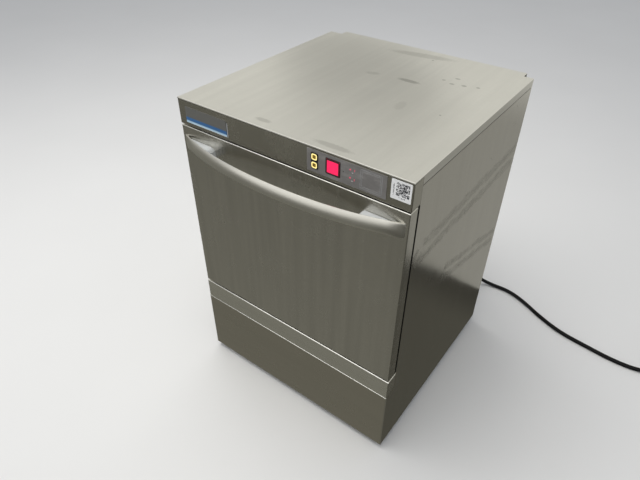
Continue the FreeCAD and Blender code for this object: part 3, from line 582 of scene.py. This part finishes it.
def supply_cable(material):
    """The cable as one smooth line: the free run, the coil, and the end in the plug."""
    last = (COIL_CENTRE[0] + COIL_RADIUS, COIL_CENTRE[1] + END_REACH, END_HEIGHT)
    points = CABLE_ROUTE + coil_points() + [last]
    data = bpy.data.curves.new("supply_lead", "CURVE")
    data.dimensions = "3D"
    data.bevel_depth = CABLE_DIAMETER / 2
    data.bevel_resolution = 5
    data.use_fill_caps = True
    spline = data.splines.new("NURBS")
    spline.points.add(len(points) - 1)
    for point, place in zip(spline.points, points):
        point.co = (*place, 1)
    spline.order_u = 3
    spline.use_endpoint_u = True
    spline.resolution_u = 6
    data.materials.append(material)
    cable = bpy.data.objects.new("supply_lead", data)
    bpy.context.scene.collection.objects.link(cable)
    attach(cable, "cabinet")
    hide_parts("supply_cable", "cable_coil")


# ---------------------------------------------------------------- materials

WARM_STEEL = (0.60, 0.585, 0.54)
LID_STEEL = (0.66, 0.65, 0.61)
MARK_DEPTH = 0.02


def lid_marks(graph):
    """Old marks on the lid: a dark smudge, rows of dots and long faint wipes. Each is given by its
    centre, half its sizes, its turn and its weight."""
    spots = [
        ((0.067, 0.113), (0.036, 0.0105), 0.0, 1.0),
        ((0.131, 0.169), (0.006, 0.005), 0.0, 0.8),
        ((0.157, 0.158), (0.008, 0.005), 0.0, 0.8),
        ((0.155, 0.195), (0.009, 0.005), 0.0, 0.8),
        ((0.185, 0.164), (0.008, 0.006), 0.0, 0.9),
        ((0.216, 0.173), (0.006, 0.005), 0.0, 0.9),
        ((0.010, 0.288), (0.110, 0.020), 0.16, 0.45),
        ((-0.027, 0.104), (0.022, 0.012), 0.3, 0.4),
        ((0.121, -0.020), (0.014, 0.030), 0.1, 0.3),
        ((0.049, 0.272), (0.0035, 0.0035), 0.0, 1.0),
        ((0.212, -0.012), (0.0032, 0.0032), 0.0, 1.0),
        ((-0.068, -0.253), (0.026, 0.009), 0.0, 0.55),
        ((0.112, -0.258), (0.055, 0.011), 0.0, 0.55),
    ]
    marks = []
    for (x, y), (a, b), turn, weight in spots:
        mark = graph.patch((x, y, lid_top), (a, b, MARK_DEPTH), (0, 0, turn), 0.6, 5 * MM)
        marks.append(graph.math("MULTIPLY", mark, weight))
    return graph.highest(marks)


def tape_band(graph, start, end, half_height, seed):
    """The glue that an old strip of tape left between two (y, z) points: two ragged stripes that
    leave a paler line between them."""
    middle_y, middle_z = (start[0] + end[0]) / 2, (start[1] + end[1]) / 2
    half_length = math.dist(start, end) / 2
    slope = math.atan2(end[1] - start[1], end[0] - start[0])
    centre = (side_face, middle_y, middle_z)
    _, y, z = graph.parts(graph.moved(centre, (1, half_length, half_height), (slope, 0, 0)))
    wobble = graph.math("SUBTRACT", graph.noise((1, 0.045, 0.03), 4.0, 0.65, (0, seed, 0)), 0.5)
    across = graph.math("ABSOLUTE", graph.math("MULTIPLY_ADD", wobble, 1.1, z))
    stripe = graph.math("MULTIPLY", graph.ease(across, 0.08, 0.34), graph.ease(across, 1.05, 0.72))
    tears = graph.noise((1, 0.020, 0.007), 4.0, 0.65, (0, seed, 0.6))
    torn = graph.ease(tears, 0.34, 0.60, 0.35, 1.0)
    lengthwise = graph.math("ABSOLUTE", graph.math("MULTIPLY_ADD", wobble, 0.15, y))
    ends = graph.ease(lengthwise, 1.0, 0.96)
    return graph.math("MULTIPLY", graph.math("MULTIPLY", stripe, torn), ends)


def side_marks(graph):
    """The strips of glue on the side panel and a few specks."""
    bands = [
        graph.math("MULTIPLY", tape_band(graph, start, end, half_height, seed), weight)
        for start, end, half_height, seed, weight in (
            ((-0.215, 0.632), (0.300, 0.632), 0.034, 0.1, 0.75),
            ((-0.243, 0.615), (-0.216, 0.640), 0.022, 0.5, 0.75),
            ((-0.066, 0.470), (0.300, 0.366), 0.030, 0.8, 0.80),
        )
    ]
    dots = [
        graph.patch((side_face, y, z), (MARK_DEPTH, r, r), ragged=0.3, grain=2 * MM)
        for y, z, r in (
            (-0.137, 0.503, 0.004),
            (0.115, 0.700, 0.003),
            (0.225, 0.790, 0.003),
            (0.232, 0.742, 0.003),
        )
    ]
    return graph.highest(bands + dots)


def door_specks(graph):
    """Dried splashes on the door, each given by its x, z and radius in millimetres."""
    spots = [
        (-0.040, 0.651, 1.5),
        (0.257, 0.652, 1.4),
        (-0.150, 0.668, 1.1),
        (0.205, 0.660, 1.6),
        (-0.105, 0.655, 1.0),
    ]
    patches = [
        graph.patch((x, front_face, z), (r * MM, 5 * MM, r * MM), ragged=0.4, grain=1 * MM)
        for x, z, r in spots
    ]
    return graph.math("MULTIPLY", graph.highest(patches), 0.6)


def print_film():
    """The control film: a satin dark grey print."""
    graph = Graph("film_print")
    mottle = graph.noise(0.9 * MM, 2.0, 0.6)
    smear = graph.ease(graph.noise((0.03, 0.03, 0.012), 4.0, 0.6), 0.45, 0.75)
    base = graph.mix(smear, (0.262, 0.252, 0.246), (0.310, 0.298, 0.290))
    return graph.set(
        Base_Color=base,
        Metallic=0.55,
        Roughness=graph.math("MULTIPLY_ADD", smear, 0.12, 0.32),
        Normal=graph.bump(mottle, 0.012 * MM),
    )


def badge_print():
    """The badge: a grey plate with a blue band, two pale lines under it and a bright right edge."""
    graph = Graph("badge_print")
    x, _, z = graph.parts(graph.place)
    mottle = graph.noise(0.8 * MM, 2.0, 0.6)
    band = graph.ease(z, 0.7905, 0.7880)
    pale_line = graph.ease(z, 0.7822, 0.7798)
    silver = graph.math("MULTIPLY", graph.ease(z, 0.7782, 0.7765), graph.ease(x, -0.278, -0.235))
    worn = graph.ease(graph.math("MULTIPLY", mottle, graph.ease(z, 0.7790, 0.7812)), 0.6, 0.9)
    base = graph.mix(band, (0.115, 0.115, 0.105), (0.028, 0.120, 0.290))
    base = graph.mix(pale_line, base, (0.42, 0.60, 0.72))
    base = graph.mix(silver, base, (0.62, 0.66, 0.68))
    base = graph.mix(worn, base, (0.20, 0.20, 0.20))
    base = graph.mix(graph.ease(x, -0.1525, -0.1510), base, (0.015, 0.015, 0.017))
    base = graph.mix(graph.ease(x, -0.1502, -0.1496), base, (0.50, 0.52, 0.53))
    return graph.set(Base_Color=base, Roughness=0.3, Normal=graph.bump(mottle, 0.01 * MM))


def label_print():
    """The sticker: a white ground with a field of random dark squares and two dashed rules."""
    graph = Graph("label_print")
    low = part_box("asset_label")[0]

    def cells(module, x_range, z_range, share):
        """Random squares of one size in a rectangle, all in millimetres from the sticker's lower
        left corner."""
        size = (module * MM, 1, module * MM)
        x, _, z = graph.parts(graph.moved((low.x, low.y, low.z), size))
        cell = graph.nodes.new("ShaderNodeCombineXYZ")
        graph.feed(cell.inputs[0], graph.math("FLOOR", x))
        graph.feed(cell.inputs[2], graph.math("FLOOR", z))
        chance = graph.nodes.new("ShaderNodeTexWhiteNoise")
        chance.noise_dimensions = "3D"
        graph.feed(chance.inputs["Vector"], cell.outputs[0])
        dark = graph.math("LESS_THAN", chance.outputs["Value"], share)
        for value, (start, end) in ((x, x_range), (z, z_range)):
            dark = graph.math("MULTIPLY", dark, graph.math("GREATER_THAN", value, start / module))
            dark = graph.math("MULTIPLY", dark, graph.math("LESS_THAN", value, end / module))
        return dark

    field = cells(1.5, (10.5, 37.5), (9.0, 36.0), 0.64)
    rules = [cells(1.1, (4.4, 6.6), (6.6, 33.0), 0.55), cells(1.1, (16.5, 29.7), (4.4, 6.6), 0.5)]
    scuff = graph.noise(3 * MM, 4.0, 0.6)
    paper = graph.mix(scuff, (0.82, 0.82, 0.81), (0.72, 0.72, 0.71))
    return graph.set(
        Base_Color=graph.mix(graph.highest([field] + rules), paper, (0.035, 0.035, 0.04)),
        Roughness=0.5,
        Normal=graph.bump(scuff, 0.02 * MM),
    )


def lit_plastic(name, colour, glow, strength, centre, reach):
    """Translucent plastic lit from behind: brighter in the middle, darker at the rim."""
    graph = Graph(name)
    node = graph.nodes.new("ShaderNodeVectorMath")
    node.operation = "LENGTH"
    graph.feed(node.inputs[0], graph.moved(centre, (reach, 0.1, reach)))
    rim = graph.ease(node.outputs["Value"], 0.7, 1.5)
    mottle = graph.noise(1.5 * MM, 2.0, 0.5)
    lit = graph.mix(rim, glow, tuple(0.72 * c for c in glow))
    return graph.set(
        Base_Color=graph.mix(mottle, colour, tuple(0.85 * c for c in colour)),
        Roughness=0.3,
        Emission_Color=lit,
        Emission_Strength=strength,
        Normal=graph.bump(mottle, 0.02 * MM),
    )


def rubber(name, colour=(0.018, 0.018, 0.018), rough=0.55, dust=0.073, gloss=0.5):
    """Matt rubber with a dusty bloom and a fine moulded skin."""
    graph = Graph(name)
    bloom = graph.ease(graph.noise(0.025, 5.0, 0.65), 0.42, 0.75)
    skin = graph.noise(0.7 * MM, 2.0, 0.6)
    base = graph.mix(graph.math("MULTIPLY", bloom, 0.5), colour, (dust, 0.96 * dust, 0.91 * dust))
    return graph.set(
        Base_Color=base,
        Roughness=graph.math("MULTIPLY_ADD", bloom, 0.2, rough),
        Specular_IOR_Level=gloss,
        Normal=graph.bump(skin, 0.04 * MM),
    )


def painted(name, colour, rough=0.4):
    """Painted sheet or casting: faint orange peel, with chips down to grey metal."""
    graph = Graph(name)
    peel = graph.noise(1.6 * MM, 2.0, 0.5)
    chips = graph.ease(graph.noise(4 * MM, 5.0, 0.7, (0.3, 0.3, 0.3)), 0.70, 0.76)
    grime = graph.ease(graph.noise(0.05, 4.0, 0.6), 0.45, 0.8)
    base = graph.mix(graph.math("MULTIPLY", grime, 0.35), colour, (0.10, 0.095, 0.085))
    base = graph.mix(chips, base, (0.42, 0.41, 0.40))
    return graph.set(
        Base_Color=base,
        Metallic=graph.math("MULTIPLY", chips, 0.9),
        Roughness=graph.math("MULTIPLY_ADD", grime, 0.15, rough),
        Normal=graph.bump(peel, 0.03 * MM),
    )


def machined(name, colour, rough=0.28):
    """Bright turned or plated metal with fine tool lines and dull spots."""
    graph = Graph(name)
    lines = graph.noise((0.5 * MM, 0.5 * MM, 8 * MM), 2.0, 0.6)
    dull = graph.ease(graph.noise(0.012, 4.0, 0.6), 0.45, 0.75)
    worn = tuple(0.6 * c for c in colour)
    return graph.set(
        Base_Color=graph.mix(graph.math("MULTIPLY", dull, 0.5), colour, worn),
        Metallic=1.0,
        Roughness=graph.math("MULTIPLY_ADD", dull, 0.2, rough),
        Normal=graph.bump(lines, 0.01 * MM),
    )


START_RED = (0.55, 0.01, 0.06)
START_GLOW = (1.0, 0.012, 0.115)


def slot_materials():
    """One material for each of the record's slots."""
    start = middle("start_key")
    return {
        "panel_steel": steel("panel_steel", WARM_STEEL, 0.25, "Z"),
        "lid_steel": steel("lid_steel", LID_STEEL, 0.34, "Y", 0.035, dirt=lid_marks),
        "handle_steel": steel("handle_steel", (0.68, 0.67, 0.625), 0.30, "X", 0.03),
        "chamber_steel": steel("chamber_steel", (0.64, 0.64, 0.62), 0.22, "Z", 0.04),
        "frame_steel": painted("frame_steel", (0.36, 0.37, 0.38), 0.42),
        "plain_steel": machined("plain_steel", (0.62, 0.62, 0.60)),
        "film": print_film(),
        "badge": badge_print(),
        "label": label_print(),
        "start_key": lit_plastic("start_key", START_RED, START_GLOW, 0.72, start, 0.015),
        "small_keys": moulded("small_keys", (0.030, 0.026, 0.012), 0.3),
        "filler_plastic": moulded("filler_plastic", (0.50, 0.515, 0.515), 0.42),
        "grey_plastic": moulded("grey_plastic", (0.17, 0.175, 0.18), 0.45),
        "seal_rubber": rubber("seal_rubber"),
        "motor_paint": painted("motor_paint", (0.05, 0.055, 0.06), 0.38),
        "rotor_steel": machined("rotor_steel", (0.52, 0.52, 0.51)),
        "valve_brass": machined("valve_brass", (0.66, 0.50, 0.24), 0.3),
        "board": painted("board", (0.015, 0.10, 0.035), 0.35),
        "gland_plastic": moulded("gland_plastic", (0.030, 0.030, 0.031), 0.45),
        "cable_rubber": rubber("cable_rubber", (0.004, 0.004, 0.0045), 0.5, 0.012, 0.18),
        "plug_plastic": moulded("plug_plastic", (0.020, 0.075, 0.30), 0.4),
        "foot_plastic": moulded("foot_plastic", (0.028, 0.028, 0.028), 0.5),
    }


def dress_frame(materials):
    """Gives every CAD node its slot's material, or one of its own."""
    own = {
        "door_outer_panel": steel("door_steel", WARM_STEEL, 0.25, "Z", 0.06, specks=door_specks),
        "side_panel_right": steel("side_steel", WARM_STEEL, 0.19, "Z", 0.03, dirt=side_marks),
        "side_panel_left": steel("side_steel_left", WARM_STEEL, 0.19, "Z", 0.03),
        "kick_panel": steel("kick_steel", (0.515, 0.49, 0.43), 0.25, "X", 0.03),
        "door_sill_strip": steel("sill_steel", (0.74, 0.73, 0.68), 0.27, "X", 0.03),
        "control_fascia": steel("fascia_steel", (0.47, 0.455, 0.405), 0.24, "X", 0.03),
    }
    slots = {part["node"]: part["material_slot"] for part in frame["record"]["subparts"]}
    for name, piece in NODES.items():
        material = own.get(name, materials[slots[name]])
        if not piece.material_slots:
            piece.data.materials.append(material)
        for slot in piece.material_slots:
            slot.material = material


# ---------------------------------------------------------------- handle

BOW_POWER = 0.8
HANDLE_THICK = 7 * MM
HANDLE_HALF = 0.293
INNER_HALF = HANDLE_HALF - 1.6 * HANDLE_THICK
HANDLE_STATIONS = 112
HANDLE_SHARP = 50
SECTION_STEPS = 24
FULLEST = -0.2
LEAN = 0.35
LEAN_POWER = 1.6
FRONT_SHARE = 0.86
SQUARED = 0.8
SQUARED_FROM = 0.90
SQUARED_OVER = 0.08


def bow_point(across, reach, half):
    """A point of the bow in plan: across is from -1 to 1."""
    return half * across, front_face - reach * max(0.0, 1 - across**2) ** BOW_POWER


def rounding(rise):
    """How far a quarter circle falls back as it rises from 0 to 1."""
    return 1 - math.sqrt(max(0.0, 1 - rise**2))


def handle_section():
    """The bar's section as (share of the thickness, height from the middle): a crowned front that
    is fullest low down and leans back to its top edge, and a flat back."""
    half = (bow_high.z - bow_low.z) / 2
    front = []
    for i in range(SECTION_STEPS + 1):
        height = math.sin(math.pi * (i / SECTION_STEPS - 0.5))
        if height < FULLEST:
            share = rounding((FULLEST - height) / (1 + FULLEST))
        else:
            rise = (height - FULLEST) / (1 - FULLEST)
            share = LEAN * rise**LEAN_POWER + (1 - LEAN) * rounding(rise)
        front.append((FRONT_SHARE * share, half * height))
    return front + [(1.0, half), (1.0, -half)]


def handle(material):
    """The full-width bowed handle, whose crown fades out near its ends."""
    reach = front_face - bow_low.y
    centre = (bow_low.z + bow_high.z) / 2
    section = handle_section()
    rings = []
    for i in range(HANDLE_STATIONS + 1):
        across = math.sin(math.pi / 2 * (2 * i / HANDLE_STATIONS - 1))
        outer = bow_point(across, reach, HANDLE_HALF)
        inner = bow_point(across, reach - HANDLE_THICK, INNER_HALF)
        ended = min(1.0, max(0.0, (abs(across) - SQUARED_FROM) / SQUARED_OVER))
        crown = 1 - SQUARED * ended
        ring = []
        for share, height in section:
            share = share if share == 1.0 else share * crown
            x = outer[0] + (inner[0] - outer[0]) * share
            y = outer[1] + (inner[1] - outer[1]) * share
            ring.append((x, y, centre + height))
        rings.append(ring)
    piece = add_piece("handle_bar", *loft(rings), material, HANDLE_SHARP)
    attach(piece, "door")
    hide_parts("handle_bow")


FILLER_TOP = 0.7345
FILLER_INNER = 0.197
FILLER_OUTER = 0.280
FILLER_STATIONS = 24
FILLER_SOFT = 1.2 * MM
STEP_SHARE = 0.12
STEP_DROP = 7 * MM
BOW_GAP = 0.1 * MM
DOOR_GAP = 0.05 * MM


def fillers(material):
    """The two plastic wedges that close the handle's ends: a top below the handle's edge, and an
    inner end that steps down."""
    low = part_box("handle_fillers")[0]
    reach = front_face - bow_low.y
    depth = front_face - DOOR_GAP
    for side, name in ((-1, "filler_left"), (1, "filler_right")):
        rings = []
        for i in range(FILLER_STATIONS + 1):
            part = i / FILLER_STATIONS
            x = FILLER_INNER + (FILLER_OUTER - FILLER_INNER) * part
            y = bow_point(x / INNER_HALF, reach - HANDLE_THICK, INNER_HALF)[1] + BOW_GAP
            top = FILLER_TOP - STEP_DROP * (1 - min(1.0, part / STEP_SHARE)) ** 2
            soft = min(FILLER_SOFT, 0.3 * (depth - y))
            ring = [
                (y, low.z),
                (y, top - soft),
                (y + soft, top),
                (depth - soft, top),
                (depth, top - soft),
                (depth, low.z),
            ]
            rings.append([(side * x, a, b) for a, b in (ring if side > 0 else reversed(ring))])
        piece = add_piece(name, *loft(rings), material)
        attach(piece, "door")
        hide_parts("handle_fillers")


BEAD_SIDES = 12
BEAD_BACK = 0.7
BEAD_DOWN = 0.8
BEAD_TAPER = 0.6


def folded_edges():
    """Rounded bends along the top edges of the door, the sill strip and the kick panel: the shape
    is the sheet's bend, and the near-white steel is a painted highlight along each bend.
    """
    # Painted highlight: the bends' steel is near white, far paler than the panels, so each bend
    # shows a bright line.
    painted_highlight_steel = machined("bend_painted_highlight", (0.97, 0.96, 0.92), 0.26)
    circle = [math.tau * i / BEAD_SIDES for i in range(BEAD_SIDES)]
    for node, body, radius in (
        ("door_outer_panel", "door", 1.5 * MM),
        ("door_sill_strip", "cabinet", 2.3 * MM),
        ("kick_panel", "cabinet", 1.5 * MM),
    ):
        low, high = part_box(node)
        y, z = front_face + BEAD_BACK * radius, high.z - BEAD_DOWN * radius
        rings = []
        for x, size in (
            (low.x, BEAD_TAPER * radius),
            (low.x + radius, radius),
            (high.x - radius, radius),
            (high.x, BEAD_TAPER * radius),
        ):
            rings.append([(x, y + size * math.cos(t), z + size * math.sin(t)) for t in circle])
        piece = add_piece(node + "_bend", *loft(rings), painted_highlight_steel)
        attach(piece, body)


# ---------------------------------------------------------------- control panel

KEY_GAP = 0.45 * MM
RIM_OVERLAP = 0.4 * MM
RIM_SUNK = 1.2 * MM
RIM_RAISED = 1.5 * MM
FRAME_RAISED = 0.35 * MM
LAMP_SIZE = (3.4 * MM, 3.4 * MM)
MARK_SIZE = (1.2 * MM, 4.6 * MM)
DASH_SIZE = (3.2 * MM, 0.9 * MM)
DISPLAY_CENTRE = (0.2130, 0.7990)
KEY_REACH = 8 * MM
PALE_AMBER = (0.6, 0.5, 0.2)
PALE_GLOW = (0.90, 0.76, 0.30)
DEEP_AMBER = (0.4, 0.25, 0.02)
DEEP_GLOW = (0.62, 0.40, 0.03)


def control_panel():
    """Frames round the keys, lit rings on the small keys, indicator lights and display outlines."""
    black = moulded("frame_black", (0.010, 0.010, 0.010), 0.4)
    cabinet_pieces, key_pieces = [], []

    def framed(key, lit_side, frame_side, corner):
        """A black rim on a key round its lit middle, and a black frame on the film round it."""
        centre = middle(key)
        low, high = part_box(key)
        side, spot = high.z - low.z, (centre.x, centre.z)
        outer, inner, back = (side + RIM_OVERLAP,) * 2, (lit_side,) * 2, low.y + RIM_SUNK
        rim = front_ring(key + "_rim", spot, outer, inner, corner, back, RIM_RAISED, black)
        outer, inner, corner = (frame_side,) * 2, (side + 2 * KEY_GAP,) * 2, corner + KEY_GAP
        surround = front_ring(
            key + "_frame", spot, outer, inner, corner, film_face, FRAME_RAISED, black
        )
        cabinet_pieces.append((surround, "small_keys"))
        return rim

    key_pieces.append((framed("start_key", 26.4 * MM, 34.8 * MM, 2.4 * MM), "start_button"))
    for key, body in (("upper_key", "upper_button"), ("lower_key", "lower_button")):
        key_pieces.append((framed(key, 13.4 * MM, 17.8 * MM, 2.8 * MM), body))
        centre, face = middle(key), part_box(key)[0].y
        spot = (centre.x, centre.z)
        pale = lit_plastic(key + "_glow", PALE_AMBER, PALE_GLOW, 0.92, centre, KEY_REACH)
        deep = lit_plastic(key + "_core", DEEP_AMBER, DEEP_GLOW, 0.85, centre, KEY_REACH)
        for part, wide, hole, corner, raised, material in (
            ("_ring", 13.2, 8.6, 3.6, 0.35, pale),
            ("_inner", 8.6, 7.0, 1.6, 0.30, deep),
        ):
            outer, inner = (wide * MM,) * 2, (hole * MM,) * 2
            ring = front_ring(
                key + part, spot, outer, inner, corner * MM, face, raised * MM, material
            )
            key_pieces.append((ring, body))
        mark = front_plate(
            key + "_mark", spot, (1.8 * MM, 1.8 * MM), 0.5 * MM, face, 0.2 * MM, deep
        )
        key_pieces.append((mark, body))
    lamps_centre = (0.168, film_face, 0.801)
    red = lit_plastic("lamp_red", (0.5, 0.05, 0.09), (0.75, 0.10, 0.16), 0.55, lamps_centre, 0.05)
    white = moulded("lamp_white", (0.62, 0.60, 0.60), 0.25)
    for name, x, z, size, material in (
        ("lamp_upper", 0.1672, 0.8098, LAMP_SIZE, red),
        ("lamp_lower", 0.1672, 0.7922, LAMP_SIZE, red),
        ("mark_upper", 0.1770, 0.8105, MARK_SIZE, red),
        ("mark_lower", 0.1770, 0.7905, MARK_SIZE, red),
        ("dash_upper", 0.1722, 0.8040, DASH_SIZE, white),
        ("dash_lower", 0.1722, 0.7866, DASH_SIZE, white),
    ):
        corner = min(size) / 2 * 0.98
        lamp = front_plate(name, (x, z), size, corner, film_face, 0.25 * MM, material)
        cabinet_pieces.append((lamp, "film"))
    dot = front_plate(
        "sensor_dot", (0.152, 0.800), (2.2 * MM, 2.2 * MM), 1.08 * MM, film_face, 0.2 * MM, black
    )
    cabinet_pieces.append((dot, "film"))
    line = moulded("print_line", (0.30, 0.305, 0.305), 0.35)
    for name, size, width in (
        ("display_outline", (47, 40), 0.8),
        ("display_window", (40, 33), 0.6),
    ):
        outer = tuple(v * MM for v in size)
        inner = tuple((v - 2 * width) * MM for v in size)
        ring = front_ring(
            name, DISPLAY_CENTRE, outer, inner, 2 * MM, film_face, 0.12 * MM, line
        )
        cabinet_pieces.append((ring, "film"))
    for piece, slot in cabinet_pieces:
        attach(piece, "cabinet")
    for piece, body in key_pieces:
        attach(piece, body)


# ---------------------------------------------------------------- assembly

add_camera()
add_stage()
add_lights()
materials = slot_materials()
dress_frame(materials)
supply_cable(materials["cable_rubber"])
handle(materials["handle_steel"])
fillers(materials["filler_plastic"])
folded_edges()
control_panel()
